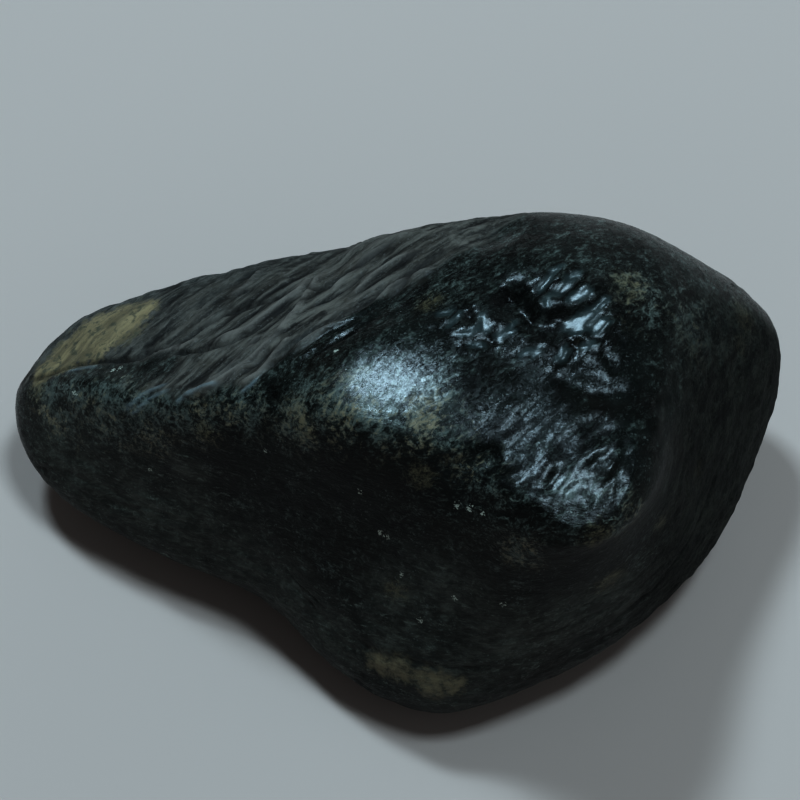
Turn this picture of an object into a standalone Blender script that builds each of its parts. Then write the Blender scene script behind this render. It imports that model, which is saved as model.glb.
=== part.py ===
"""Rough jadeite: a river-worn cobble of black-skinned jadeite, one solid stone.

The stone is pear shaped.  A narrow tail runs to -X, a thick head stands at +X,
and the front of the head ends in a low blunt tip at -Y.  River wear has ground
it into broad faces that run into each other over rounded edges, so the form is
built the way it wore: each face is a plane through one point of the stone, the
planes are blended at their edges, and soft swells and hollows are laid over them.

Metres, +Z up.  The origin is at the middle of the stone's box, on the surface
that it rests on, and +X is its long way.
"""

import math

import bmesh
import bpy
import numpy as np

MM = 0.001

# ---------------------------------------------------------------- dimensions
# Layout coordinates, in mm: x along the stone, y towards its back, z up from
# the resting surface.  The whole stone is centred on the origin at the end.
HEART = (2.0, -17.0, 17.0)     # inner point that every face is measured from
EDGE_HARDNESS = 14.0           # higher wears the edges less round

# Worn faces: name, bearing of the outward normal (degrees from +X towards +Y),
# its rise above the horizontal (degrees), and a point that the face runs through.
FACES = [
    ("back_side",          95,    8, (5.0, 8.2, 18.0)),
    ("back_top",           96,   58, (10.0, 1.5, 38.2)),
    ("wrinkled_slope",    142,   62, (-18.0, 3.5, 27.0)),
    ("tail_front",        243,   23, (-30.6, -27.6, 8.0)),
    ("mid_front",         231,   25, (-13.9, -41.7, 6.0)),
    ("head_front",        282,    6, (12.5, -43.8, 5.0)),
    ("front_right",       308,    9, (30.4, -35.9, 7.0)),
    ("right_low",         338,   18, (42.0, -13.0, 18.0)),
    ("right_end",           6,    4, (47.5, -5.0, 16.0)),
    ("right_shoulder",      4,   50, (34.0, -8.0, 36.0)),
    ("back_right",         58,   24, (36.2, 2.4, 28.0)),
    ("top",               222,   79, (7.0, -20.0, 41.8)),
    ("brow",              285,   75, (19.4, -31.0, 40.0)),
    ("tail_end",          188,   -3, (-48.8, -11.0, 13.0)),
    ("tail_nose",         220,  -10, (-48.4, -25.0, 10.0)),
    ("tail_corner",       152,   18, (-41.8, 1.2, 17.0)),
    ("under_tail",        190,  -70, (-25.0, -12.0, 0.5)),
    ("under_front_left",  239,  -44, (-19.5, -37.0, 9.5)),
    ("under_tip",         258,  -47, (1.8, -51.8, 7.0)),
    ("under_front",       286,  -45, (15.0, -45.9, 7.5)),
    ("under_right",       320,  -42, (37.2, -31.4, 10.0)),
    ("under_right_end",     2,  -42, (47.5, -7.0, 13.0)),
    ("under_back",         92,  -48, (5.0, 8.0, 9.0)),
    ("under_back_right",   50,  -42, (38.0, 2.0, 12.0)),
    ("base",                0,  -90, (0.0, -18.0, -0.8)),
]

# Swells (+) and hollows (-): name, where, reach and height, in mm.
SWELLS = [
    ("tail_bulb",   (-44.0, -13.0, 10.0),   12.0,   1.8),
    ("right_bulb",  (44.0, -5.0, 17.0),     12.0,   2.9),
    ("left_knob",   (-3.0, -21.0, 36.0),     9.0,   1.8),
    ("crest_high",  (-12.0, -14.5, 33.0),    7.0,   1.3),
    ("crest_mid",   (-22.0, -16.5, 28.5),    7.0,   1.5),
    ("crest_low",   (-33.0, -16.0, 24.0),    7.0,   1.3),
    ("front_shelf", (6.0, -29.0, 36.0),      8.0,   1.2),
    ("brow_knob",   (19.0, -34.5, 37.0),     8.5,   2.6),
    ("front_tip",   (0.0, -44.0, 8.0),      14.0,   2.2),
    ("tail_keel",   (-41.0, -19.5, 7.5),     9.0,   1.0),
    ("waist_front", (-19.0, -31.0, 8.0),    12.0,  -2.6),
    ("waist_back",  (-4.0, 4.0, 27.0),      12.0,  -0.5),
]

# Facets along x, y and z, and the half sizes (mm) that keep them even.
FACETS = (36, 20, 16)
SPREAD = (48.0, 27.0, 21.0)

SKIN_COLOUR = (0.012, 0.021, 0.022, 1.0)
SKIN_ROUGHNESS = 0.34


# -------------------------------------------------------------------- form
def bearing(azimuth, rise):
    """Unit vector at an azimuth and a rise above the horizontal, in degrees."""
    a, e = math.radians(azimuth), math.radians(rise)
    return (math.cos(a) * math.cos(e), math.sin(a) * math.cos(e), math.sin(e))


def stone_surface(directions):
    """Points of the stone's surface, in mm, seen from HEART along unit directions."""
    heart = np.array(HEART)
    normals = np.array([bearing(a, e) for _, a, e, _ in FACES])
    through = np.array([point for *_, point in FACES])
    reach = ((through - heart) * normals).sum(axis=1)
    pull = np.maximum(directions @ normals.T / reach, 0.0)
    radius = (pull**EDGE_HARDNESS).sum(axis=1) ** (-1.0 / EDGE_HARDNESS)
    bare = heart + directions * radius[:, None]
    for _, where, width, height in SWELLS:
        distance = ((bare - np.array(where)) ** 2).sum(axis=1)
        radius = radius + height * np.exp(-distance / width**2)
    points = heart + directions * radius[:, None]
    points[:, 2] = np.maximum(points[:, 2], 0.0)   # the ground-off resting patch
    return points


def box_grid(divisions):
    """Cells of a box's six sides: grid points in [-1, 1] and quads facing out."""
    points, index, quads = [], {}, []

    def at(cell):
        if cell not in index:
            index[cell] = len(points)
            points.append([2.0 * c / n - 1.0 for c, n in zip(cell, divisions)])
        return index[cell]

    for axis in range(3):
        u, v = (axis + 1) % 3, (axis + 2) % 3
        for side in (0, divisions[axis]):
            for i in range(divisions[u]):
                for j in range(divisions[v]):
                    ring = []
                    for du, dv in ((0, 0), (1, 0), (1, 1), (0, 1)):
                        cell = [0, 0, 0]
                        cell[axis], cell[u], cell[v] = side, i + du, j + dv
                        ring.append(at(tuple(cell)))
                    quads.append(ring if side else ring[::-1])
    return np.array(points), quads


def directions_from(grid):
    """Unit directions, spread so that facets come out about the same size."""
    warped = np.tan(grid * math.pi / 4.0)
    ball = warped / np.linalg.norm(warped, axis=1)[:, None]
    stretched = ball * np.array(SPREAD)
    return stretched / np.linalg.norm(stretched, axis=1)[:, None]


# ------------------------------------------------------------------- build
def clear_scene():
    for obj in list(bpy.data.objects):
        bpy.data.objects.remove(obj, do_unlink=True)


def jadeite_material():
    material = bpy.data.materials.new("black_jadeite_skin")
    material.use_nodes = True
    shader = material.node_tree.nodes["Principled BSDF"]
    shader.inputs["Base Color"].default_value = SKIN_COLOUR
    shader.inputs["Roughness"].default_value = SKIN_ROUGHNESS
    shader.inputs["Metallic"].default_value = 0.0
    shader.inputs["IOR"].default_value = 1.66
    material.diffuse_color = SKIN_COLOUR
    return material


def build_stone():
    grid, quads = box_grid(FACETS)
    points = stone_surface(directions_from(grid))
    low, high = points.min(axis=0), points.max(axis=0)
    points = points - np.array([(low[0] + high[0]) / 2, (low[1] + high[1]) / 2, low[2]])

    bm = bmesh.new()
    verts = [bm.verts.new(tuple(point * MM)) for point in points]
    for quad in quads:
        bm.faces.new([verts[k] for k in quad])
    bmesh.ops.triangulate(bm, faces=bm.faces[:], quad_method="SHORT_EDGE")
    bmesh.ops.recalc_face_normals(bm, faces=bm.faces[:])
    mesh = bpy.data.meshes.new("jadeite_stone")
    bm.to_mesh(mesh)
    bm.free()
    mesh.shade_smooth()
    mesh.set_sharp_from_angle(angle=math.radians(50.0))
    mesh.materials.append(jadeite_material())

    stone = bpy.data.objects.new("jadeite_stone", mesh)
    bpy.context.scene.collection.objects.link(stone)
    return stone


clear_scene()
build_stone()
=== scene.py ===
"""Looks of the rough jadeite cobble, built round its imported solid.

The stone's form is the solid's own, made again on a finer grid.  Its worn skin is
then modelled as relief in millimetres: knobs, ribs, creases, chips, pits and
foliation.  The colours and the finish are procedural materials on that relief.
"""
import math

import bpy
import numpy as np
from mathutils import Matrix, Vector


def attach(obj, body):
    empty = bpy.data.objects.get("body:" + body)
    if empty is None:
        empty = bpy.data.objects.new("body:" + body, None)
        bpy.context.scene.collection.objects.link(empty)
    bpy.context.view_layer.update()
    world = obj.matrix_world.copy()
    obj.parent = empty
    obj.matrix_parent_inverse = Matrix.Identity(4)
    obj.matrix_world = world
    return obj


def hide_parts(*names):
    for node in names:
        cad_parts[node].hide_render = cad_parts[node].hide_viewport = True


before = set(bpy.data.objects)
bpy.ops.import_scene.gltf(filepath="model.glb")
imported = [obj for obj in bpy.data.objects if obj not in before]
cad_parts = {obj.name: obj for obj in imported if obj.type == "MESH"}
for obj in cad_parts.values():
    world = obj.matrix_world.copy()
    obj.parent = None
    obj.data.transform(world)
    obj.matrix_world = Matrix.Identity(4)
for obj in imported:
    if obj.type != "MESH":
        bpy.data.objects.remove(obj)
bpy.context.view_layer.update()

MM = 0.001

# ------------------------------------------------------------ the stone's form
# The same worn faces and swells as the solid's, in its layout coordinates (mm).
HEART = (2.0, -17.0, 17.0)
EDGE_HARDNESS = 14.0
FACES = [
    ("back_side",          95,    8, (5.0, 8.2, 18.0)),
    ("back_top",           96,   58, (10.0, 1.5, 38.2)),
    ("wrinkled_slope",    142,   62, (-18.0, 3.5, 27.0)),
    ("tail_front",        243,   23, (-30.6, -27.6, 8.0)),
    ("mid_front",         231,   25, (-13.9, -41.7, 6.0)),
    ("head_front",        282,    6, (12.5, -43.8, 5.0)),
    ("front_right",       308,    9, (30.4, -35.9, 7.0)),
    ("right_low",         338,   18, (42.0, -13.0, 18.0)),
    ("right_end",           6,    4, (47.5, -5.0, 16.0)),
    ("right_shoulder",      4,   50, (34.0, -8.0, 36.0)),
    ("back_right",         58,   24, (36.2, 2.4, 28.0)),
    ("top",               222,   79, (7.0, -20.0, 41.8)),
    ("brow",              285,   75, (19.4, -31.0, 40.0)),
    ("tail_end",          188,   -3, (-48.8, -11.0, 13.0)),
    ("tail_nose",         220,  -10, (-48.4, -25.0, 10.0)),
    ("tail_corner",       152,   18, (-41.8, 1.2, 17.0)),
    ("under_tail",        190,  -70, (-25.0, -12.0, 0.5)),
    ("under_front_left",  239,  -44, (-19.5, -37.0, 9.5)),
    ("under_tip",         258,  -47, (1.8, -51.8, 7.0)),
    ("under_front",       286,  -45, (15.0, -45.9, 7.5)),
    ("under_right",       320,  -42, (37.2, -31.4, 10.0)),
    ("under_right_end",     2,  -42, (47.5, -7.0, 13.0)),
    ("under_back",         92,  -48, (5.0, 8.0, 9.0)),
    ("under_back_right",   50,  -42, (38.0, 2.0, 12.0)),
    ("base",                0,  -90, (0.0, -18.0, -0.8)),
]
SWELLS = [
    ("tail_bulb",   (-44.0, -13.0, 10.0),   12.0,   1.8),
    ("right_bulb",  (44.0, -5.0, 17.0),     12.0,   2.9),
    ("left_knob",   (-3.0, -21.0, 36.0),     9.0,   1.8),
    ("crest_high",  (-12.0, -14.5, 33.0),    7.0,   1.3),
    ("crest_mid",   (-22.0, -16.5, 28.5),    7.0,   1.5),
    ("crest_low",   (-33.0, -16.0, 24.0),    7.0,   1.3),
    ("front_shelf", (6.0, -29.0, 36.0),      8.0,   1.2),
    ("brow_knob",   (19.0, -34.5, 37.0),     8.5,   2.6),
    ("front_tip",   (0.0, -44.0, 8.0),      14.0,   2.2),
    ("tail_keel",   (-41.0, -19.5, 7.5),     9.0,   1.0),
    ("waist_front", (-19.0, -31.0, 8.0),    12.0,  -2.6),
    ("waist_back",  (-4.0, 4.0, 27.0),      12.0,  -0.5),
]
COARSE = (36, 20, 16)      # the solid's grid, which fixes where its box lies
FINE = (198, 110, 88)      # the grid of the looks: 195,536 triangles
SPREAD = (48.0, 27.0, 21.0)


def bearing(azimuth, rise):
    a, e = math.radians(azimuth), math.radians(rise)
    return (math.cos(a) * math.cos(e), math.sin(a) * math.cos(e), math.sin(e))


def stone_radius(directions):
    heart = np.array(HEART)
    normals = np.array([bearing(a, e) for _, a, e, _ in FACES])
    through = np.array([point for *_, point in FACES])
    reach = ((through - heart) * normals).sum(axis=1)
    pull = np.maximum(directions @ normals.T / reach, 0.0)
    radius = (pull**EDGE_HARDNESS).sum(axis=1) ** (-1.0 / EDGE_HARDNESS)
    bare = heart + directions * radius[:, None]
    for _, where, width, height in SWELLS:
        distance = ((bare - np.array(where)) ** 2).sum(axis=1)
        radius = radius + height * np.exp(-distance / width**2)
    return radius


def box_grid(divisions):
    """Grid points in [-1, 1] on a box's six sides, and quads facing out."""
    nx, ny, nz = divisions
    shape = (nx + 1, ny + 1, nz + 1)
    index = -np.ones(shape, int)
    I, J, K = np.meshgrid(*[np.arange(n + 1) for n in divisions], indexing="ij")
    rim = (I == 0) | (I == nx) | (J == 0) | (J == ny) | (K == 0) | (K == nz)
    index[rim] = np.arange(rim.sum())
    points = np.stack([2.0 * I[rim] / nx - 1, 2.0 * J[rim] / ny - 1, 2.0 * K[rim] / nz - 1], 1)
    quads = []
    for axis in range(3):
        u, v = (axis + 1) % 3, (axis + 2) % 3
        for side in (0, divisions[axis]):
            layer = np.moveaxis(index, (axis, u, v), (0, 1, 2))[side]
            q = np.stack([layer[:-1, :-1], layer[1:, :-1], layer[1:, 1:], layer[:-1, 1:]], -1).reshape(-1, 4)
            quads.append(q if side else q[:, ::-1])
    return points, np.concatenate(quads)


def directions_from(grid):
    warped = np.tan(grid * math.pi / 4.0)
    ball = warped / np.linalg.norm(warped, axis=1)[:, None]
    stretched = ball * np.array(SPREAD)
    return stretched / np.linalg.norm(stretched, axis=1)[:, None]


def stone_points(directions):
    points = np.array(HEART) + directions * stone_radius(directions)[:, None]
    points[:, 2] = np.maximum(points[:, 2], 0.0)
    return points


def vertex_normals(points, quads):
    a, b, c, d = (points[quads[:, k]] for k in range(4))
    face = np.cross(c - a, d - b)
    normals = np.zeros_like(points)
    for k in range(4):
        np.add.at(normals, quads[:, k], face)
    return normals / np.linalg.norm(normals, axis=1)[:, None]


coarse = stone_points(directions_from(box_grid(COARSE)[0]))
SHIFT = np.array([(coarse[:, 0].min() + coarse[:, 0].max()) / 2,
                  (coarse[:, 1].min() + coarse[:, 1].max()) / 2, coarse[:, 2].min()])

grid, quads = box_grid(FINE)
rays = directions_from(grid)
form = stone_points(rays)
normal = vertex_normals(form, quads)

# ------------------------------------------------------------------ the camera
# Seen from 60 degrees up, 269.5 mm from the layout's origin, through a lens of
# 2078 pixels in an 800-pixel frame.
RISE = math.radians(60.0)
RANGE = 269.5
FOCAL = 2078.0
EYE = np.array([0.0, -RANGE * math.cos(RISE), RANGE * math.sin(RISE)])


def on_stone(px, py):
    """The point of the form seen at a pixel of the 800 x 800 frame, in layout mm."""
    right = np.array([1.0, 0.0, 0.0])
    ahead = np.array([0.0, math.cos(RISE), -math.sin(RISE)])
    up = np.array([0.0, math.sin(RISE), math.cos(RISE)])
    ray = ahead + right * (px - 400.0) / FOCAL + up * (400.0 - py) / FOCAL
    ray /= np.linalg.norm(ray)
    t = np.linspace(190.0, 330.0, 1401)
    at = EYE + ray * t[:, None]
    out = at - np.array(HEART)
    far = np.linalg.norm(out, axis=1)
    inside = far < stone_radius(out / far[:, None])
    if inside.any():
        return at[inside.argmax()]
    return at[(far - stone_radius(out / far[:, None])).argmin()]   # just past the edge


def trail(pixels, step=5.0):
    """Points along a line drawn through these pixels, laid on the form."""
    points = []
    for (x0, y0), (x1, y1) in zip(pixels, pixels[1:]):
        n = max(1, round(math.hypot(x1 - x0, y1 - y0) / step))
        points += [on_stone(x0 + (x1 - x0) * k / n, y0 + (y1 - y0) * k / n) for k in range(n)]
    return np.array(points + [on_stone(*pixels[-1])])


# -------------------------------------------------------------- noise, in numpy
def lattice(i, j, k, seed):
    h = (i.astype(np.uint32) * np.uint32(374761393) + j.astype(np.uint32) * np.uint32(668265263)
         + k.astype(np.uint32) * np.uint32(2147483647) + np.uint32(seed * 974711 + 12345))
    h = (h ^ (h >> np.uint32(13))) * np.uint32(1274126177)
    h = (h ^ (h >> np.uint32(16))) * np.uint32(2246822519)
    return (h ^ (h >> np.uint32(15))).astype(np.float64) / 4294967295.0


def noise(p, seed=0):
    """Gradient noise, about -1 to 1, with features about 1 unit across."""
    base = np.floor(p).astype(np.int64)
    f = p - base
    s = f * f * f * (f * (f * 6 - 15) + 10)
    total = 0.0
    for di in (0, 1):
        for dj in (0, 1):
            for dk in (0, 1):
                i, j, k = base[:, 0] + di, base[:, 1] + dj, base[:, 2] + dk
                z = lattice(i, j, k, seed) * 2 - 1
                a = lattice(i, j, k, seed + 57) * 2 * math.pi
                r = np.sqrt(np.maximum(0, 1 - z * z))
                dot = (r * np.cos(a) * (f[:, 0] - di) + r * np.sin(a) * (f[:, 1] - dj) + z * (f[:, 2] - dk))
                w = ((s[:, 0] if di else 1 - s[:, 0]) * (s[:, 1] if dj else 1 - s[:, 1])
                     * (s[:, 2] if dk else 1 - s[:, 2]))
                total = total + w * dot
    return total * 1.6


def fractal(p, seed=0, octaves=4, gain=0.5):
    total, amount, norm = 0.0, 1.0, 0.0
    for o in range(octaves):
        total = total + amount * noise(p * 2.03**o + 17.3 * o, seed + 101 * o)
        norm += amount
        amount *= gain
    return total / norm


def ridged(p, seed=0, octaves=3, gain=0.5):
    """Sharp ridges on a rounded ground, 0 to 1."""
    total, amount, norm = 0.0, 1.0, 0.0
    for o in range(octaves):
        total = total + amount * (1 - np.abs(noise(p * 2.03**o + 9.1 * o, seed + 77 * o))) ** 2
        norm += amount
        amount *= gain
    return total / norm


def cells(p, seed=0):
    """Distances to the nearest two scattered points, and the nearest one's own random number and offset."""
    base = np.floor(p).astype(np.int64)
    near = np.full(len(p), 9.0)
    next_ = np.full(len(p), 9.0)
    who = np.zeros(len(p))
    away = np.zeros((len(p), 3))
    for di in (-1, 0, 1):
        for dj in (-1, 0, 1):
            for dk in (-1, 0, 1):
                i, j, k = base[:, 0] + di, base[:, 1] + dj, base[:, 2] + dk
                q = np.stack([i + lattice(i, j, k, seed), j + lattice(i, j, k, seed + 11), k + lattice(i, j, k, seed + 23)], 1)
                d = np.linalg.norm(p - q, axis=1)
                closer = d < near
                next_ = np.where(closer, near, np.minimum(next_, d))
                near = np.where(closer, d, near)
                who = np.where(closer, lattice(i, j, k, seed + 41), who)
                away = np.where(closer[:, None], p - q, away)
    return near, next_, who, away


def smooth(lo, hi, x):
    t = np.clip((x - lo) / (hi - lo), 0.0, 1.0)
    return t * t * (3 - 2 * t)


def stretched(p, along, factor):
    """Coordinates squeezed along a direction, so that noise in them runs that way."""
    a = np.array(along, float)
    a /= np.linalg.norm(a)
    return p - np.outer(p @ a, a) * (1 - factor)


def to_line(points):
    """Distance of every point of the form from a line of points, and how far along it (0 to 1)."""
    best = np.full(len(form), 1e9)
    where = np.zeros(len(form))
    for n, (a, b) in enumerate(zip(points, points[1:])):
        ab = b - a
        t = np.clip(((form - a) @ ab) / max(ab @ ab, 1e-9), 0, 1)
        d = np.linalg.norm(form - a - t[:, None] * ab, axis=1)
        closer = d < best
        best = np.where(closer, d, best)
        where = np.where(closer, (n + t) / (len(points) - 1), where)
    return best, where


def blobs(spots, edge=0.45):
    """A soft patch of round spots, each (px, py, radius in mm), 0 outside to 1 inside."""
    mask = np.zeros(len(form))
    for px, py, r in spots:
        d = np.linalg.norm(form - on_stone(px, py), axis=1) / r
        mask = np.maximum(mask, 1 - smooth(1 - edge, 1 + edge, d))
    return mask


# ------------------------------------------------------- places on the stone
# Each is drawn in pixels of the 800 x 800 frame and laid on the form, so that
# it is a place on the surface, whichever side it is then seen from.
CREST = [(22, 388), (60, 374), (120, 388), (178, 398), (245, 386), (286, 350), (357, 315), (423, 279), (490, 233)]
# The ribs' pale colour is a painted highlight on their raised tops.
RIBS = [  # pale raised ribs on the wrinkled slope: line, half width and height in mm
    ([(188, 400), (205, 390), (221, 378), (249, 357), (276, 335), (297, 311), (313, 285), (325, 262)], 0.42, 0.60),
    ([(180, 398), (207, 383), (233, 357), (247, 346), (262, 330)], 0.36, 0.40),
    ([(271, 367), (292, 347), (313, 334), (353, 319), (375, 305), (393, 285), (418, 274), (440, 268)], 0.42, 0.50),
    ([(290, 364), (313, 346), (340, 334), (362, 322), (380, 308)], 0.34, 0.35),
    ([(228, 299), (247, 286), (262, 270)], 0.34, 0.40),
    ([(205, 344), (226, 336), (247, 328), (276, 306), (297, 292), (312, 272)], 0.50, 0.40),
    ([(330, 293), (345, 276), (362, 260), (386, 246), (413, 232)], 0.40, 0.45),
    ([(352, 296), (372, 276), (396, 260), (424, 250)], 0.36, 0.35),
    ([(150, 352), (176, 346), (200, 338)], 0.40, 0.25),
    ([(236, 386), (256, 372), (272, 352), (290, 334)], 0.34, 0.35),
    ([(184, 448), (189, 495), (194, 545)], 1.30, 0.18),
]
# These strokes are also painted pale blue-grey: a painted glint.
STROKES = [  # short wet ridges on the tail's crest: line, half width and height in mm
    ([(124, 412), (145, 394), (169, 381)], 0.22, 0.22), ([(130, 416), (152, 398), (172, 388)], 0.18, 0.16),
    ([(184, 397), (200, 389), (221, 383)], 0.22, 0.20), ([(62, 373), (80, 367), (100, 364)], 0.20, 0.18),
    ([(176, 404), (186, 396), (196, 388)], 0.20, 0.18), ([(240, 394), (250, 386), (258, 376)], 0.20, 0.18),
]
# The darkening of these sunken lines is painted shade.
CREASES = [  # dark sunken lines: line, half width and depth in mm
    ([(22, 384), (48, 372), (74, 362), (104, 358), (132, 357), (152, 350), (176, 343)], 0.34, 0.55),
    ([(176, 344), (201, 327), (223, 314), (252, 305), (279, 297), (290, 284)], 0.36, 0.70),
    ([(165, 352), (207, 348), (233, 340), (262, 325), (276, 313), (297, 301)], 0.38, 0.75),
    ([(192, 312), (217, 293), (234, 284), (262, 268)], 0.34, 0.60),
    ([(210, 306), (232, 296), (256, 288)], 0.26, 0.45),
    ([(262, 366), (281, 356), (300, 338), (318, 327)], 0.34, 0.55),
    ([(326, 322), (340, 316), (362, 309), (376, 297), (386, 282)], 0.46, 0.75),
    ([(300, 292), (330, 284), (356, 266), (372, 256), (400, 238)], 0.36, 0.65),
    ([(310, 306), (328, 300), (350, 286), (368, 268)], 0.30, 0.50),
    ([(384, 302), (400, 286), (424, 264), (452, 248)], 0.34, 0.50),
    ([(212, 372), (238, 352), (262, 334)], 0.30, 0.40),
    ([(240, 372), (256, 360), (270, 344)], 0.26, 0.40),
    ([(312, 356), (336, 342), (360, 330)], 0.28, 0.35),
    ([(346, 637), (366, 645), (390, 654), (429, 664), (462, 668), (505, 664)], 0.24, 0.28),
    ([(430, 612), (460, 614), (495, 619)], 0.18, 0.12),
    ([(515, 582), (546, 592), (575, 591), (606, 580)], 0.18, 0.14),
    ([(470, 640), (553, 630), (619, 602), (664, 558), (694, 512), (712, 470)], 0.22, 0.14),
    ([(560, 645), (610, 624), (650, 590), (684, 546), (708, 500), (724, 452)], 0.36, 0.28),
    ([(500, 622), (570, 612), (625, 584), (662, 545), (690, 500)], 0.20, 0.12),
    ([(446, 470), (470, 500), (505, 512), (545, 508)], 0.22, 0.18),
    ([(66, 498), (110, 506), (150, 508), (184, 520)], 0.20, 0.14),
]
KNOBS = [  # broad swells and hollows: pixel, reach and height in mm
    ((520, 405), 6.0, -0.15), ((520, 298), 2.6, -0.70), ((566, 320), 1.6, -0.50),
    ((662, 350), 5.0, -0.30), ((596, 300), 5.0, 0.35), ((478, 322), 3.5, 0.35), ((150, 425), 6.0, 0.25),
    ((455, 478), 3.5, -0.45), ((330, 510), 8.0, -0.30), ((470, 565), 9.0, 0.35), ((240, 505), 7.0, -0.25),
    ((655, 565), 6.0, 0.40), ((700, 400), 8.0, -0.30), ((430, 690), 5.0, 0.30), ((492, 232), 3.0, -0.90),
    ((329, 262), 4.0, -0.80), ((44, 376), 3.5, -0.40), ((300, 360), 4.5, -0.40),
]
GROOVES = [  # broad furrows (-) and ridges (+): line, half width and depth in mm
    ([(540, 366), (572, 382), (610, 397), (640, 402)], 1.5, -0.45),
    ([(612, 418), (585, 438), (560, 452), (545, 468), (520, 486)], 1.3, -0.70),
    ([(500, 283), (514, 302), (532, 322), (552, 326)], 1.1, -0.55),
    ([(430, 470), (470, 462), (505, 452)], 1.3, -0.45),
]
DOMES = [  # gently rounded shelves: pixel, half length and half width in mm, turn in degrees, lean, drop at the rim
    # in mm, lowest and highest change in mm, and how much longer its skirt is on the front side
    ((408, 380), 8.0, 6.0, -4, (-0.10, -0.04), 0.36, -0.8, 0.8, 1.0),
    ((580, 476), 8.6, 4.3, 41, (0.08, -0.21), 0.44, -0.8, 1.15, 2.2),
]
OLD_CREST = [(60, 356), (120, 370), (178, 380), (245, 368)]
SCARS = [  # flat broken facets, which catch the light: pixel, half length and half width in mm, turn in degrees
    ((583, 321), 2.1, 1.20, 48), ((600, 326), 1.5, 0.90, 60), ((564, 286), 1.9, 0.70, 55), ((545, 283), 1.4, 0.60, 60),
    ((580, 296), 1.6, 0.80, 30), ((602, 304), 1.3, 0.60, 60), ((563, 354), 1.2, 0.60, 70), ((588, 345), 1.2, 0.60, 35),
    ((548, 300), 1.1, 0.55, 80), ((536, 352), 0.8, 0.45, 40), ((470, 333), 1.3, 0.50, 30), ((455, 321), 1.4, 0.45, 60),
    ((484, 324), 1.5, 0.55, 110), ((504, 334), 1.4, 0.60, 30), ((446, 313), 1.2, 0.45, 20), ((478, 344), 1.1, 0.45, 10),
    ((524, 352), 0.8, 0.45, 40), ((556, 270), 1.2, 0.45, 45), ((575, 275), 1.1, 0.45, 30), ((512, 324), 0.9, 0.40, 60),
]
CHIPPED = [(590, 300, 3.4), (585, 325, 3.2), (566, 352, 2.8), (556, 296, 2.8), (606, 345, 2.8), (520, 300, 2.6)]
GLINTS = [(452, 322, 2.8), (478, 322, 3.0), (500, 330, 2.8), (470, 340, 2.4)]
FOLIATED = [(560, 450, 4.5), (600, 430, 5.0), (640, 415, 4.0), (530, 480, 4.0), (545, 420, 4.5), (505, 450, 3.5)]
BRUSHED = [(572, 486, 5.0), (596, 462, 4.0), (555, 508, 4.5)]
GLOW = [(368, 379, 4.2), (400, 384, 4.0), (435, 391, 3.4), (545, 502, 3.0), (572, 484, 3.4), (600, 456, 3.2), (622, 434, 2.6)]
BARED = [(44, 382, 1.8), (66, 377, 2.2), (92, 373, 2.4), (118, 372, 2.6), (142, 370, 2.6), (164, 364, 2.2)]
PITS = [(508, 291, 1.0), (550, 323, 1.2), (560, 316, 0.8), (531, 318, 0.9), (540, 333, 0.7), (574, 343, 0.7), (500, 300, 0.8),
        (468, 318, 0.7), (490, 340, 0.6), (566, 291, 0.6)]
DIM = [(250, 465, 6.0), (300, 475, 6.5), (350, 485, 7.0), (400, 500, 7.0), (450, 525, 6.0), (320, 530, 6.0), (380, 545, 6.0),
       (510, 560, 5.0), (560, 575, 5.0), (280, 500, 6.0)]
# Places painted darker, where the stone lies in shade: pixel and radius in mm.
PAINTED_SHADE_SPOTS = [(452, 454, 4.5), (490, 440, 5.5), (522, 418, 5.5), (560, 404, 4.5), (600, 396, 4.5), (628, 372, 4.5), (640, 330, 4.0),
          (486, 402, 3.6), (545, 380, 4.0), (642, 482, 4.5), (654, 440, 4.5), (660, 400, 4.0), (625, 520, 4.0), (230, 452, 4.5), (355, 470, 5.0), (590, 560, 4.5)]
# Specks painted pale where single crystals glint, a painted glint: pixel and radius in mm.
GLINT_SPECKS = [(360, 491, 0.40), (380, 533, 0.50), (387, 537, 0.40), (456, 505, 0.50), (470, 508, 0.50), (484, 511, 0.45),
          (76, 393, 0.45), (112, 368, 0.40), (119, 366, 0.40), (231, 330, 0.35), (343, 319, 0.40), (337, 352, 0.35),
          (420, 620, 0.40), (455, 596, 0.40), (505, 600, 0.40), (402, 575, 0.35), (150, 470, 0.35), (265, 450, 0.40)]
# The low front and lower edges, painted grey as a painted reflection of the pale floor: pixel and radius in mm.
EDGE_SHEEN = [(60, 455, 4.0), (90, 480, 5.5), (140, 505, 5.5), (190, 530, 5.5), (240, 562, 5.0), (290, 598, 4.5), (335, 638, 4.5),
         (400, 640, 5.0), (450, 680, 5.0), (400, 600, 4.5), (450, 590, 5.0), (500, 640, 5.5), (188, 470, 2.2), (192, 500, 2.4),
         (560, 620, 5.0), (610, 600, 4.5), (700, 500, 5.0), (745, 430, 5.0)]
OCHRE = [(118, 324, 4.2), (92, 337, 4.8), (66, 352, 3.8), (44, 368, 2.4), (138, 312, 2.6)]
OCHRE_TIP = [(380, 664, 2.2), (398, 668, 2.6), (432, 682, 2.8), (452, 684, 2.0)]
OCHRE_SPOTS = [(431, 303, 1.8), (594, 532, 1.8), (608, 580, 2.4), (744, 320, 2.8), (628, 288, 2.6), (740, 345, 1.8),
               (306, 430, 1.8), (578, 344, 0.9), (660, 520, 1.6), (421, 476, 1.8), (700, 470, 1.4), (36, 390, 2.0),
               (205, 430, 1.6), (396, 590, 1.8)]
TAN = [(45, 402, 3.0), (80, 400, 3.2), (118, 402, 3.2), (152, 408, 3.0), (182, 412, 3.0), (330, 420, 3.0), (345, 412, 4.0), (385, 420, 3.6), (425, 424, 3.6), (300, 428, 2.8), (455, 436, 2.4), (440, 410, 2.6),
       (60, 425, 3.0), (110, 425, 3.2), (150, 430, 3.0), (200, 420, 3.0), (240, 410, 3.0), (480, 470, 2.6),
       (524, 546, 2.2), (640, 300, 3.0), (700, 330, 3.5), (620, 520, 2.6)]
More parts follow.
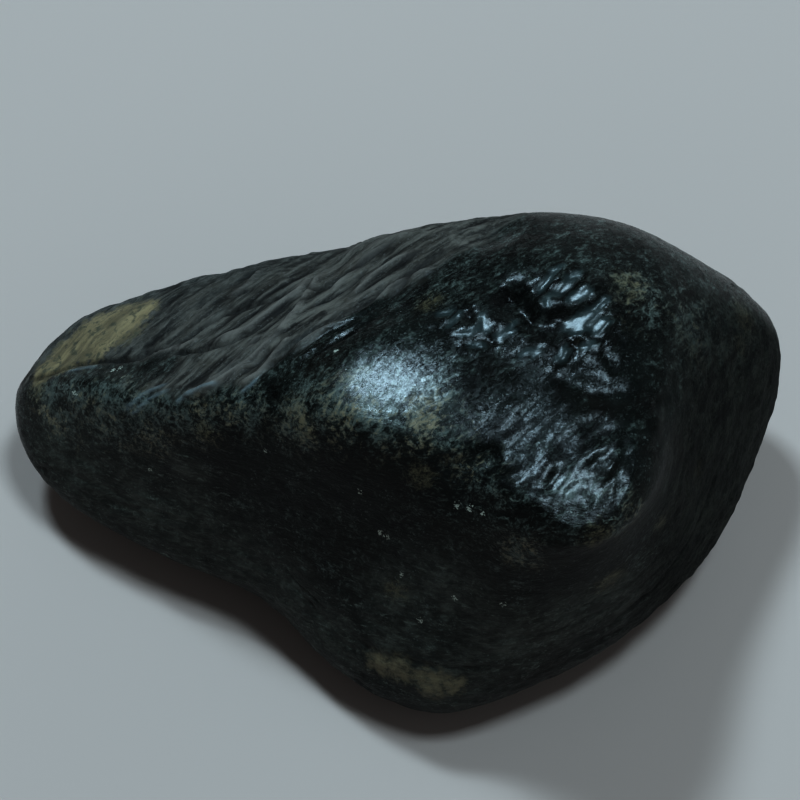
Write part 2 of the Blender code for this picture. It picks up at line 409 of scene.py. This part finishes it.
# Gleaming places: a few more pale crystals, a painted highlight, and a stronger grain: pixel and radius in mm.
HIGHLIGHT_AND_GRAIN = [(380, 375, 6.5), (430, 385, 5.0), (480, 325, 4.5), (560, 270, 6.0), (600, 300, 6.0), 
          (588, 466, 5.6), (555, 500, 5.2), (120, 400, 4.0), (720, 300, 5.0), (745, 350, 4.0),
          (690, 265, 4.0), (500, 245, 5.0), (450, 280, 4.0), (180, 402, 4.5), (235, 398, 4.0),
          (60, 392, 3.5), (300, 390, 4.0), (470, 500, 4.0), (660, 330, 6.0)]

# --------------------------------------------------------------- the regions
x, y, z = form.T
wrinkle_way = on_stone(293, 264) - on_stone(175, 349)
leaf_way = on_stone(622, 418) - on_stone(556, 466)
brush_way = on_stone(594, 455) - on_stone(572, 505)
sweep_way = on_stone(500, 640) - on_stone(410, 628)

crest = trail(CREST)
order = np.argsort(crest[:, 0])
edge_y = np.interp(x, crest[order, 0], crest[order, 1])
edge_y = edge_y + np.maximum(0, x - crest[:, 0].max()) * 0.9
wander = fractal(form / 5.0, 3)
torn = fractal(stretched(form, wrinkle_way, 0.22) / 2.2, 4, 3)
behind = y - edge_y + 0.9 * wander + 1.7 * torn
matte = smooth(-0.8, 1.4, behind) * (0.35 + 0.65 * smooth(2.0, 9.0, z))
matte *= 1 - 0.85 * blobs(BARED, 0.4)
back = smooth(-0.5, 0.5, normal[:, 1]) * smooth(26.0, 16.0, z)      # the hidden steep back

chipped = blobs(CHIPPED)
glints = blobs(GLINTS)
foliated = blobs(FOLIATED)
brushed = blobs(BRUSHED)
glow = blobs(GLOW, 0.7)      # smoothest, so they gleam
ochre = blobs(OCHRE, 0.85) * smooth(-2.5, 0.5, behind)
ochre_tip = blobs(OCHRE_TIP, 0.7)
spots = blobs(OCHRE_SPOTS, 0.8)
tan = blobs(TAN, 0.8)
edge_sheen = blobs(EDGE_SHEEN, 0.9)
dim = blobs(DIM, 0.9)
glint_specks = blobs(GLINT_SPECKS, 0.6)
painted_shade = blobs(PAINTED_SHADE_SPOTS, 0.9)
pits = np.zeros(len(form))
for px, py, r in PITS:
    d = np.linalg.norm(form - on_stone(px, py), axis=1) / r * (1 + 0.5 * wander)
    pits = np.maximum(pits, np.exp(-(d**2)))
highlight_and_grain = blobs(HIGHLIGHT_AND_GRAIN, 0.9)
right = smooth(27.5, 34.0, x - 0.15 * (y + 16) + 0.8 * wander) * smooth(0.90, 0.66, normal[:, 2]) * smooth(0.25, -0.10, normal[:, 1])
front = smooth(-0.25, -0.7, normal[:, 1]) * (1 - matte)
under = smooth(-0.1, -0.6, normal[:, 2])


def on(mask, make):
    """make(points) where the mask lets it show, 0 elsewhere."""
    hit = mask > 0.002
    values = np.zeros(len(form))
    if hit.any():
        values[hit] = make(form[hit], wander[hit])
    return values * mask


# ---------------------------------------------------------------- the relief
relief = 0.30 * fractal(form / 13.0, 11, 2) + 0.12 * fractal(form / 6.0, 12, 3)
for (px, py), reach, height in KNOBS:
    d = ((form - on_stone(px, py)) ** 2).sum(axis=1)
    relief += height * np.exp(-d / reach**2)
for pixels, half, depth in GROOVES:
    d, t = to_line(trail(pixels))
    relief += depth * np.exp(-((d / (half * (1 + 0.25 * wander))) ** 2)) * smooth(0.0, 0.2, t) * smooth(1.0, 0.8, t)
for (px, py), length, width, turn, lean, drop, lowest, highest, skirt in DOMES:
    at = on_stone(px, py)
    up = np.array([*lean, math.sqrt(1 - lean[0]**2 - lean[1]**2)])
    a = math.radians(turn)
    u = (form - at) @ np.array([math.cos(a), math.sin(a), 0.0]) / length
    v = (form - at) @ np.array([-math.sin(a), math.cos(a), 0.0]) / width
    v = np.where(v < 0, v / skirt, v)
    here = smooth(1.95, 0.55, np.hypot(u, v)) * smooth(0.05, 0.45, normal[:, 2])
    shelf = ((at - form) @ up) / np.maximum(normal @ up, 0.45) - drop * (u * u + v * v)
    relief += np.clip(shelf - relief, lowest, highest) * here
relief -= 0.6 * np.exp(-((to_line(trail(OLD_CREST))[0] / 3.2) ** 2))
relief += 0.4 * np.exp(-((to_line(trail(CREST[:5]))[0] / 2.6) ** 2))

# Wrinkled slope: long rounded folds with sharp creases between them.
calm = 1 - 0.85 * ochre


def folds(p, w):
    q = stretched(p, wrinkle_way, 0.12)
    return (0.34 * (np.abs(noise(q / 2.8 + 0.12 * w[:, None], 21)) - 0.32)
            + 0.24 * (np.abs(noise(q / 1.2 + 0.10 * w[:, None], 22)) - 0.30)
            + 0.09 * noise(stretched(p, wrinkle_way, 0.10) / 0.7, 23))


fold = on(matte * calm, folds)
relief += fold

# The steep back is duller, lumpier and pitted.
def knobbly(p, w):
    near, next_, who, away = cells(p / 2.6 + 0.3 * w[:, None], 71)
    return (0.50 * fractal(p / 6.0, 72, 3) + 0.30 * (np.abs(noise(stretched(p, (1.0, 0.15, 0.35), 0.35) / 2.4, 73)) - 0.3)
            - 0.35 * smooth(0.34, 0.12, near) * (who > 0.55))


rear = smooth(0.15, 0.65, normal[:, 1]) * smooth(33.0, 24.0, z)
relief += on(rear, knobbly)

# Foliated patch, brushed patch and the grain of the whole skin.
relief += on(foliated, lambda p, w: 0.24 * noise(stretched(p, leaf_way, 0.22) / 1.3 + 0.15 * w[:, None], 31)
             + 0.10 * noise(stretched(p, leaf_way, 0.25) / 0.75, 32))
relief += on(brushed, lambda p, w: 0.20 * noise(stretched(p, brush_way, 0.35) / 0.75, 33)
             + 0.20 * noise(stretched(p, brush_way, 0.45) / 1.6, 34))
skin = (1 - matte) * (1 - 0.6 * right)
relief += on(skin * (1 - front) * (1 - 0.5 * glow), lambda p, w: 0.05 * fractal(stretched(p, leaf_way, 0.50) / 1.3, 42, 2))
relief += on(skin * front, lambda p, w: 0.07 * fractal(stretched(p, sweep_way, 0.35) / 1.2, 41, 2))
relief += highlight_and_grain * skin * (1 - 0.5 * glow) * 0.04 * noise(form / 0.8, 43)
relief += on(right, lambda p, w: 0.22 * fractal(stretched(p, (0.10, 1.0, 0.45), 0.45) / 1.9, 64, 3))

# Chips: small tilted flakes with sharp edges.
def flakes(p, w):
    near, next_, who, away = cells(stretched(p, leaf_way, 0.7) / 2.0 + 0.25 * w[:, None], 51)
    tilt = np.stack([np.cos(who * 37), np.sin(who * 53), np.cos(who * 71)], 1)
    return (away * tilt).sum(axis=1) * 0.75 + (who - 0.5) * 0.40


def small_flakes(p, w):
    near, next_, who, away = cells(p / 0.95 + 0.2 * w[:, None], 52)
    tilt = np.stack([np.cos(who * 31), np.sin(who * 59), np.cos(who * 83)], 1)
    return (away * tilt).sum(axis=1)


relief += on(chipped, lambda p, w: 0.55 * flakes(p, w) + 0.14 * small_flakes(p, w) - 0.10)
relief += on(glints, lambda p, w: 0.30 * flakes(p, w) + 0.16 * small_flakes(p, w))

# Sweeping foliation lines low on the front and round the right side.
low = np.clip(front * smooth(24.0, 12.0, z) + 0.6 * right, 0, 1)
relief += on(low, lambda p, w: 0.13 * noise(stretched(p, sweep_way, 0.12) / 1.1, 61))
band = noise(np.stack([x * 0.02, y * 0.02, (z + 0.18 * x + 1.5 * wander) / 2.6], 1), 62)
band_crease = np.exp(-((band / 0.06) ** 2)) * smooth(0.0, 0.4, fractal(form / 7.0, 63, 2))
shown = (1 - matte) * np.clip(low + under + back, 0, 1)
relief -= shown * 0.20 * band_crease

# Painted shade in the creases, pits, deep grooves, fold valleys and band creases.
painted_crease_shade = np.zeros(len(form))
# Painted highlight on the raised ribs and fold tops.
painted_rib_light = np.zeros(len(form))
for pixels, half, depth in CREASES:
    d, t = to_line(trail(pixels))
    taper = smooth(0.0, 0.12, t) * smooth(1.0, 0.88, t) * (0.65 + 0.35 * smooth(-0.3, 0.3, wander))
    half = half * (1 + 0.5 * wander)
    cut = np.exp(-((d / half) ** 2)) * taper
    relief -= depth * cut
    painted_crease_shade = np.maximum(painted_crease_shade, np.exp(-((d / (half * 1.15)) ** 2)) * taper * min(1.0, depth / 0.4))
for pixels, half, height in RIBS:
    d, t = to_line(trail(pixels))
    taper = smooth(0.0, 0.10, t) * smooth(1.0, 0.90, t)
    up = np.exp(-((d / (half * (1 + 0.3 * wander))) ** 2)) * taper
    relief += height * up
    painted_rib_light = np.maximum(painted_rib_light, up)
for pixels, half, depth in GROOVES:
    d, t = to_line(trail(pixels))
    if depth <= -0.6:
        painted_crease_shade = np.maximum(painted_crease_shade, 0.8 * np.exp(-((d / (half * 0.7)) ** 2)) * smooth(0.0, 0.2, t) * smooth(1.0, 0.8, t))
relief -= 0.6 * pits
painted_crease_shade = np.maximum(painted_crease_shade, pits)
wet_glint = np.zeros(len(form))
for pixels, half, height in STROKES:
    d, t = to_line(trail(pixels))
    up = np.exp(-((d / half) ** 2)) * smooth(0.0, 0.2, t) * smooth(1.0, 0.8, t)
    relief += height * up
    wet_glint = np.maximum(wet_glint, up)
# Fold valleys get painted shade and fold tops a painted highlight.
painted_crease_shade = np.maximum(painted_crease_shade, 0.85 * matte * calm * smooth(-0.07, -0.16, fold))
painted_rib_light = np.maximum(painted_rib_light, 0.6 * matte * calm * smooth(0.05, 0.20, fold))
painted_crease_shade = np.maximum(painted_crease_shade, 0.4 * band_crease * shown)

# Scars: each is a plane that faces halfway between the eye and the key light.
KEY = np.array([-0.227, 0.436, 0.871])
KEY /= np.linalg.norm(KEY)
lamp_at = KEY * 1200.0 + (0, 0, 20) + SHIFT
scar = np.zeros(len(form))
for n, ((px, py), length, width, turn) in enumerate(SCARS):
    at = on_stone(px, py)
    a = math.radians(turn)
    along = np.array([math.cos(a), math.sin(a), 0.0])
    across = np.array([-math.sin(a), math.cos(a), 0.0])
    out = form - at
    reach = (np.abs(out @ along / length) ** 3.5 + np.abs(out @ across / width + 0.35 * (out @ along / length)) ** 3.5) ** (1 / 3.5)
    here = smooth(1.10, 0.92, reach + 0.30 * wander)
    if not here.any():
        continue
    to_lamp, to_eye = lamp_at - at, EYE - at
    tilt = to_lamp / np.linalg.norm(to_lamp) + to_eye / np.linalg.norm(to_eye)
    tilt = tilt / np.linalg.norm(tilt) + 0.02 * np.array([math.cos(2.4 * n), math.sin(2.4 * n), 0.0])
    tilt /= np.linalg.norm(tilt)
    centre = at + tilt * (relief[((form - at) ** 2).sum(axis=1).argmin()] - 0.10)
    flat = ((centre - form) @ tilt) / np.maximum(normal @ tilt, 0.5)
    relief = relief * (1 - here) + np.clip(flat, -1.6, 1.2) * here
    scar = np.maximum(scar, here)

# The resting patch stays flat: only shallow hollows are worn into it.
rest = smooth(0.6, 0.0, z)
relief = relief * (1 - rest) - rest * 0.12 * smooth(-0.2, 0.5, fractal(form / 4.0, 91, 3))

worn = form + normal * relief[:, None]
worn[:, 2] = np.maximum(worn[:, 2], 0.0)

# ------------------------------------------------------------------ the mesh
mesh = bpy.data.meshes.new("jadeite_skin")
mesh.from_pydata([tuple(p) for p in (worn - SHIFT) * MM], [], quads.tolist())
mesh.validate()
mesh.shade_smooth()
MASKS = {"matte": matte, "ochre": ochre, "tip": ochre_tip, "spots": spots, "tan": tan, "highlight_and_grain": highlight_and_grain,
         "front": front, "right": right, "painted_crease_shade": painted_crease_shade, "painted_rib_light": painted_rib_light,
         "chipped": np.maximum(chipped, glints), "scar": scar, "foliated": np.maximum(foliated, brushed),
         "rear": np.maximum(under, rear), "wet_glint": wet_glint, "glow": glow, "edge_sheen": edge_sheen, "dim": dim, "glint_specks": glint_specks, "painted_shade": painted_shade}
for name, value in MASKS.items():
    mesh.attributes.new(name, "FLOAT", "POINT").data.foreach_set("value", np.clip(value, 0, 1).astype(np.float32))
stone = bpy.data.objects.new("jadeite_cobble", mesh)
bpy.context.scene.collection.objects.link(stone)


# -------------------------------------------------------------- the material
class Tree:
    """Short ways to add shader nodes. A value may be a socket, a number or a colour."""

    def __init__(self, name):
        self.material = bpy.data.materials.new(name)
        self.material.use_nodes = True
        self.nodes = self.material.node_tree.nodes
        self.links = self.material.node_tree.links
        self.shader = self.nodes["Principled BSDF"]

    def put(self, socket, value):
        if isinstance(value, bpy.types.NodeSocket):
            self.links.new(value, socket)
        elif value is not None:
            socket.default_value = value

    def math(self, operation, a, b=None, c=None, clamp=False):
        n = self.nodes.new("ShaderNodeMath")
        n.operation, n.use_clamp = operation, clamp
        for socket, value in zip(n.inputs, (a, b, c)):
            self.put(socket, value)
        return n.outputs[0]

    def add(self, a, b): return self.math("ADD", a, b)
    def sub(self, a, b): return self.math("SUBTRACT", a, b)
    def mul(self, a, b): return self.math("MULTIPLY", a, b)

    def vector(self, operation, a, b=None, c=None, scale=None):
        n = self.nodes.new("ShaderNodeVectorMath")
        n.operation = operation
        for socket, value in zip(n.inputs[:3], (a, b, c)):
            self.put(socket, value)
        if scale is not None:
            self.put(n.inputs["Scale"], scale)
        return n.outputs["Value" if operation in ("DOT_PRODUCT", "LENGTH") else "Vector"]

    def step(self, value, lo, hi, to_lo=0.0, to_hi=1.0):
        n = self.nodes.new("ShaderNodeMapRange")
        n.interpolation_type = "SMOOTHSTEP"
        for socket, v in zip(n.inputs, (value, lo, hi, to_lo, to_hi)):
            self.put(socket, v)
        return n.outputs[0]

    def mix(self, factor, a, b, blend="MIX"):
        n = self.nodes.new("ShaderNodeMix")
        n.data_type, n.blend_type, n.clamp_factor = "RGBA", blend, True
        self.put(n.inputs[0], factor)
        self.put(n.inputs[6], (*a, 1) if isinstance(a, tuple) else a)
        self.put(n.inputs[7], (*b, 1) if isinstance(b, tuple) else b)
        return n.outputs[2]

    def lerp(self, factor, a, b):
        n = self.nodes.new("ShaderNodeMix")
        n.data_type, n.clamp_factor = "FLOAT", True
        for socket, v in zip(n.inputs[:4], (factor, None, a, b)):
            self.put(socket, v)
        return n.outputs[0]

    def attribute(self, name):
        n = self.nodes.new("ShaderNodeAttribute")
        n.attribute_name = name
        return n.outputs["Fac"]

    def noise(self, at, scale, detail=2.0, rough=0.5, distortion=0.0, offset=0.0):
        n = self.nodes.new("ShaderNodeTexNoise")
        n.noise_dimensions = "4D"
        self.put(n.inputs["Vector"], at)
        for key, v in (("W", offset), ("Scale", scale), ("Detail", detail), ("Roughness", rough), ("Distortion", distortion)):
            n.inputs[key].default_value = v
        return n.outputs[0]

    def crystals(self, at, scale, tilt):
        """Close-set crystals: a random shade for each, a second one, and the height (mm) of its tilted face."""
        n = self.nodes.new("ShaderNodeTexVoronoi")
        self.put(n.inputs["Vector"], at)
        n.inputs["Scale"].default_value = scale
        split = self.nodes.new("ShaderNodeSeparateColor")
        self.put(split.inputs[0], n.outputs["Color"])
        lean = self.vector("SUBTRACT", n.outputs["Color"], (0.5, 0.5, 0.5))
        away = self.vector("SUBTRACT", at, n.outputs["Position"])
        height = self.mul(self.vector("DOT_PRODUCT", away, lean), tilt)
        return split.outputs[0], split.outputs[1], height

    def squeeze(self, at, along, factor):
        """Coordinates squeezed along a direction: at + along (at . along) (factor - 1)."""
        a = tuple(Vector(along).normalized())
        push = self.nodes.new("ShaderNodeVectorMath")
        push.operation = "SCALE"
        push.inputs[0].default_value = a
        self.put(push.inputs["Scale"], self.mul(self.vector("DOT_PRODUCT", at, a), factor - 1.0))
        return self.vector("ADD", at, push.outputs[0])

    def warp(self, at, by, amount):
        """Coordinates pushed about by a noise colour."""
        n = self.nodes.new("ShaderNodeTexNoise")
        self.put(n.inputs["Vector"], at)
        n.inputs["Scale"].default_value = by
        n.inputs["Detail"].default_value = 2.0
        return self.vector("MULTIPLY_ADD", n.outputs["Color"], (amount, amount, amount), at)


t = Tree("black_jadeite_skin")
place = t.nodes.new("ShaderNodeTexCoord")
mm = t.vector("SCALE", place.outputs["Object"], scale=1000.0)
P = t.warp(mm, 0.5, 1.0)
A = {name: t.attribute(name) for name in MASKS}
leafwise = t.squeeze(P, leaf_way, 0.55)
sweepwise = t.squeeze(P, sweep_way, 0.32)
wrinklewise = t.squeeze(P, wrinkle_way, 0.12)

# Crystals 0.3 and 0.2 mm across, drawn out along the foliation.
shade, shade2, face = t.crystals(leafwise, 3.0, 0.12)
fine, fine2, fine_face = t.crystals(P, 5.5, 0.14)
brush = t.noise(sweepwise, 2.2, 4.0, 0.65, offset=3.0)
line = t.noise(t.squeeze(P, sweep_way, 0.14), 3.2, 3.0, 0.6, offset=7.0)
grain = t.noise(leafwise, 1.9, 5.0, 0.68, offset=5.0)
mottle = t.noise(leafwise, 0.55, 4.0, 0.6, offset=9.0)
blotch = t.noise(P, 0.30, 4.0, 0.6, offset=11.0)
cloud = t.noise(P, 0.085, 3.0, 0.5, offset=15.0)

# Skin colour, from black-green ground to pale grey-green crystals.
ground = t.mix(t.step(blotch, 0.35, 0.65), (0.0020, 0.0040, 0.0036), (0.0090, 0.0145, 0.0130))
# The front-facing side gets a darker ground: painted shade.
ground = t.mix(t.mul(A["front"], 0.6), ground, (0.0016, 0.0030, 0.0027))
ground = t.mix(t.mul(t.step(cloud, 0.45, 0.7), 0.6), ground, (0.0100, 0.0092, 0.0066))
# A few more pale crystals in the gleaming places: a painted highlight. More pale tan crystals on the tan freckles.
lift = t.add(t.mul(t.sub(mottle, 0.5), 0.55), t.add(t.mul(A["highlight_and_grain"], 0.04), t.mul(A["tan"], 0.14)))
# Fewer pale crystals in the painted shade places.
speckle = t.add(t.add(t.mul(grain, 0.80), t.mul(shade, 0.12)), t.add(t.mul(fine, 0.08), t.sub(lift, t.mul(A["painted_shade"], 0.09))))
mid = t.step(speckle, 0.44, 0.68)
# Fewer mid and pale crystals on the front-facing side: painted shade.
skin_colour = t.mix(t.mul(mid, t.lerp(A["front"], 0.9, 0.45)), ground, (0.050, 0.063, 0.056))
pale = t.step(speckle, 0.56, 0.78)
skin_colour = t.mix(t.mul(pale, t.lerp(A["front"], 0.8, 0.60)), skin_colour, (0.170, 0.200, 0.182))
veil = t.step(t.add(t.mul(t.noise(sweepwise, 0.5, 4.0, 0.6, offset=13.0), 0.7), t.mul(line, 0.3)), 0.46, 0.62)
brushed = t.step(t.add(t.add(t.mul(line, 0.5), t.mul(brush, 0.4)), t.mul(fine, 0.08)), 0.51, 0.65)
skin_colour = t.mix(t.mul(t.mul(brushed, t.lerp(veil, 0.15, 1.0)), t.mul(A["front"], t.lerp(A["dim"], 0.9, 0.25))), skin_colour, (0.190, 0.220, 0.192))
# Painted reflection of the floor: brushed grey along the low front and lower edges.
edge_sheen_grain = t.step(t.add(t.mul(brush, 0.55), t.mul(mottle, 0.45)), 0.40, 0.63)
skin_colour = t.mix(t.mul(t.lerp(edge_sheen_grain, 0.25, 1.0), t.mul(A["edge_sheen"], 0.68)), skin_colour, (0.118, 0.128, 0.110))
skin_colour = t.mix(t.mul(t.step(t.add(fine2, t.mul(t.sub(blotch, 0.5), 0.5)), 0.99, 1.03), 0.6), skin_colour, (0.13, 0.15, 0.14))

# Tan freckles, and soft ochre spots.
freckle = t.step(t.add(t.add(t.mul(shade2, 0.10), t.mul(grain, 0.9)), t.mul(t.sub(blotch, 0.5), 0.6)), 0.50, 0.72)
skin_colour = t.mix(t.mul(freckle, t.mul(A["tan"], 0.80)), skin_colour, (0.285, 0.243, 0.162))
speckled = t.step(t.add(t.mul(fine, 0.10), t.add(t.mul(grain, 0.8), t.mul(A["spots"], 0.20))), 0.50, 0.82)
skin_colour = t.mix(t.mul(speckled, t.mul(A["spots"], 0.75)), skin_colour, (0.205, 0.180, 0.112))
# The right face is painted near-black: painted shade. The streak lines next are its own colour.
skin_colour = t.mix(t.mul(A["right"], 0.66), skin_colour, (0.0018, 0.0036, 0.0028))
skin_colour = t.mix(t.mul(A["right"], t.mul(t.step(t.add(t.mul(line, 0.5), t.mul(mottle, 0.5)), 0.47, 0.60), 0.45)), skin_colour, (0.060, 0.066, 0.050))
skin_colour = t.mix(t.mul(A["chipped"], 0.55), skin_colour, (0.0030, 0.0050, 0.0052))
# The broken facets are painted paler teal: a painted highlight.
skin_colour = t.mix(t.mul(A["scar"], 0.6), skin_colour, (0.060, 0.085, 0.085))

# Wrinkled slope: dull warm grey.
streak = t.noise(wrinklewise, 1.0, 5.0, 0.62, offset=21.0)
grey = t.mix(t.step(streak, 0.36, 0.64), (0.028, 0.028, 0.025), (0.180, 0.170, 0.148))
grey = t.mix(t.mul(t.step(blotch, 0.48, 0.7), 0.45), grey, (0.052, 0.044, 0.033))
grey = t.mix(t.mul(t.step(fine, 0.85, 0.97), 0.35), grey, (0.22, 0.22, 0.21))
# The hidden back and underside are painted paler grey: painted fill light.
rear_fill_grey = t.mix(t.step(t.add(t.mul(grain, 0.75), t.mul(mottle, 0.25)), 0.42, 0.62), (0.034, 0.038, 0.035), (0.150, 0.152, 0.140))
grey = t.mix(t.mul(A["rear"], 0.85), grey, rear_fill_grey)
colour = t.mix(A["matte"], skin_colour, grey)

# Ochre skin.
crumb = t.noise(P, 0.9, 5.0, 0.65, offset=31.0)
ochre_edge = t.step(t.add(A["ochre"], t.mul(t.sub(crumb, 0.5), 1.9)), 0.30, 0.70)
ochre_tone = t.mix(t.step(t.noise(wrinklewise, 0.8, 4.0, 0.6, offset=33.0), 0.35, 0.65), (0.190, 0.158, 0.100), (0.365, 0.300, 0.185))
ochre_tone = t.mix(t.mul(t.step(crumb, 0.50, 0.62), 0.75), ochre_tone, (0.085, 0.092, 0.068))
colour = t.mix(t.mul(ochre_edge, 0.92), colour, ochre_tone)
tip_edge = t.step(t.add(t.mul(A["tip"], 0.9), t.mul(t.sub(t.add(t.mul(crumb, 0.6), t.mul(grain, 0.4)), 0.5), 3.2)), 0.30, 1.10)
colour = t.mix(t.mul(tip_edge, t.mul(A["tip"], 0.9)), colour, (0.235, 0.205, 0.135))

# Painted highlight on the raised ribs and fold tops of the wrinkled slope.
colour = t.mix(t.mul(A["painted_rib_light"], t.mul(A["matte"], 0.65)), colour, (0.250, 0.230, 0.205))
# Painted shade in the creases, pits, grooves and fold valleys.
colour = t.mix(t.mul(A["painted_crease_shade"], 0.85), colour, (0.0040, 0.0045, 0.0050))
# Pale blue-grey on the wet strokes: a painted glint.
colour = t.mix(t.mul(A["wet_glint"], 0.55), colour, (0.30, 0.36, 0.38))
# Pale specks: painted glints of single crystals.
speck_glint = t.step(t.add(A["glint_specks"], t.mul(t.sub(fine, 0.5), 1.1)), 0.75, 0.95)
colour = t.mix(t.mul(speck_glint, 0.9), colour, (0.46, 0.48, 0.42))
t.put(t.shader.inputs["Base Color"], colour)

# Finish: wet and glossy on the skin, dull on the wrinkled slope and the ochre.
gloss = t.lerp(shade2, 0.20, 0.30)
gloss = t.lerp(A["front"], gloss, 0.46)
gloss = t.lerp(t.mul(A["foliated"], 0.8), gloss, 0.27)
gloss = t.lerp(A["glow"], gloss, 0.25)
gloss = t.lerp(A["right"], gloss, 0.66)
gloss = t.lerp(A["scar"], gloss, 0.26)
rough = t.lerp(A["matte"], gloss, 0.62)
rough = t.lerp(ochre_edge, rough, 0.58)
rough = t.lerp(A["wet_glint"], rough, 0.22)
t.put(t.shader.inputs["Roughness"], rough)
t.shader.inputs["IOR"].default_value = 1.38

# Micro relief in mm.
height = t.add(t.mul(face, t.lerp(A["highlight_and_grain"], 0.6, 1.0)), t.add(t.mul(fine_face, 0.6), t.mul(t.sub(grain, 0.5), 0.03)))
height = t.mul(height, t.lerp(A["glow"], 1.0, 0.5))
height = t.lerp(A["front"], height, t.add(t.mul(height, 0.5), t.mul(line, 0.12)))
height = t.lerp(A["right"], height, t.add(t.mul(line, 0.22), t.add(t.mul(height, 0.6), t.mul(t.sub(grain, 0.5), 0.14))))
height = t.lerp(A["scar"], height, t.mul(brush, 0.03))
plain = t.lerp(A["rear"], t.add(t.mul(streak, 0.34), t.mul(fine, 0.02)), t.mul(grain, 0.22))
height = t.lerp(A["matte"], height, plain)
bump = t.nodes.new("ShaderNodeBump")
bump.inputs["Strength"].default_value = 1.0
bump.inputs["Distance"].default_value = 0.001
t.put(bump.inputs["Height"], height)
t.put(t.shader.inputs["Normal"], bump.outputs["Normal"])

mesh.materials.append(t.material)
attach(stone, "root")
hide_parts("jadeite_stone")

# --------------------------------------------------- floor, lights and camera
floor_mesh = bpy.data.meshes.new("floor")
floor_mesh.from_pydata([(-3, -3, 0), (3, -3, 0), (3, 3, 0), (-3, 3, 0)], [], [(0, 1, 2, 3)])
floor = bpy.data.objects.new("floor", floor_mesh)
bpy.context.scene.collection.objects.link(floor)
ft = Tree("pale_floor")
ft.shader.inputs["Base Color"].default_value = (0.55, 0.47, 0.43, 1)
ft.shader.inputs["Roughness"].default_value = 0.8
floor_mesh.materials.append(ft.material)

world = bpy.data.worlds.new("studio")
world.use_nodes = True
world.node_tree.nodes["Background"].inputs["Color"].default_value = (0.92, 0.96, 1.0, 1)
world.node_tree.nodes["Background"].inputs["Strength"].default_value = 0.13
bpy.context.scene.world = world


def softbox(name, towards, distance, size, power, colour):
    light = bpy.data.lights.new(name, "AREA")
    light.shape, light.size, light.size_y = "RECTANGLE", size[0], size[1]
    light.energy, light.color = power, colour
    lamp = bpy.data.objects.new(name, light)
    way = Vector(towards).normalized()
    lamp.location = way * distance + Vector((0, 0, 0.02))
    lamp.rotation_euler = way.to_track_quat("Z", "Y").to_euler()
    lamp.visible_camera = False
    bpy.context.scene.collection.objects.link(lamp)
    return lamp


softbox("key", (-0.227, 0.436, 0.871), 1.2, (0.17, 0.17), 8.7, (0.66, 0.87, 1.0))
softbox("top", (0.242, 0.062, 0.968), 1.2, (0.22, 0.22), 7.6, (0.68, 0.88, 1.0))
softbox("fill", (-0.30, -0.90, 0.36), 1.2, (1.80, 0.80), 1.3, (0.80, 0.93, 1.0))
softbox("side", (0.90, -0.30, 0.42), 1.2, (1.60, 0.80), 1.7, (0.80, 0.93, 1.0))
softbox("rear", (0.45, 0.85, 0.36), 1.2, (1.60, 0.80), 1.5, (0.80, 0.93, 1.0))

camera = bpy.data.cameras.new("camera")
camera.sensor_width = 36.0
camera.lens = FOCAL / 800.0 * 36.0
camera.clip_start, camera.clip_end = 0.01, 50.0
eye = bpy.data.objects.new("camera", camera)
eye.location = Vector((EYE - SHIFT) * MM)
eye.rotation_euler = (math.pi / 2 - RISE, 0.0, 0.0)
bpy.context.scene.collection.objects.link(eye)
bpy.context.scene.camera = eye
bpy.context.scene.view_settings.view_transform = "Standard"
bpy.context.scene.view_settings.exposure = 0.09
bpy.context.scene.view_settings.gamma = 0.62
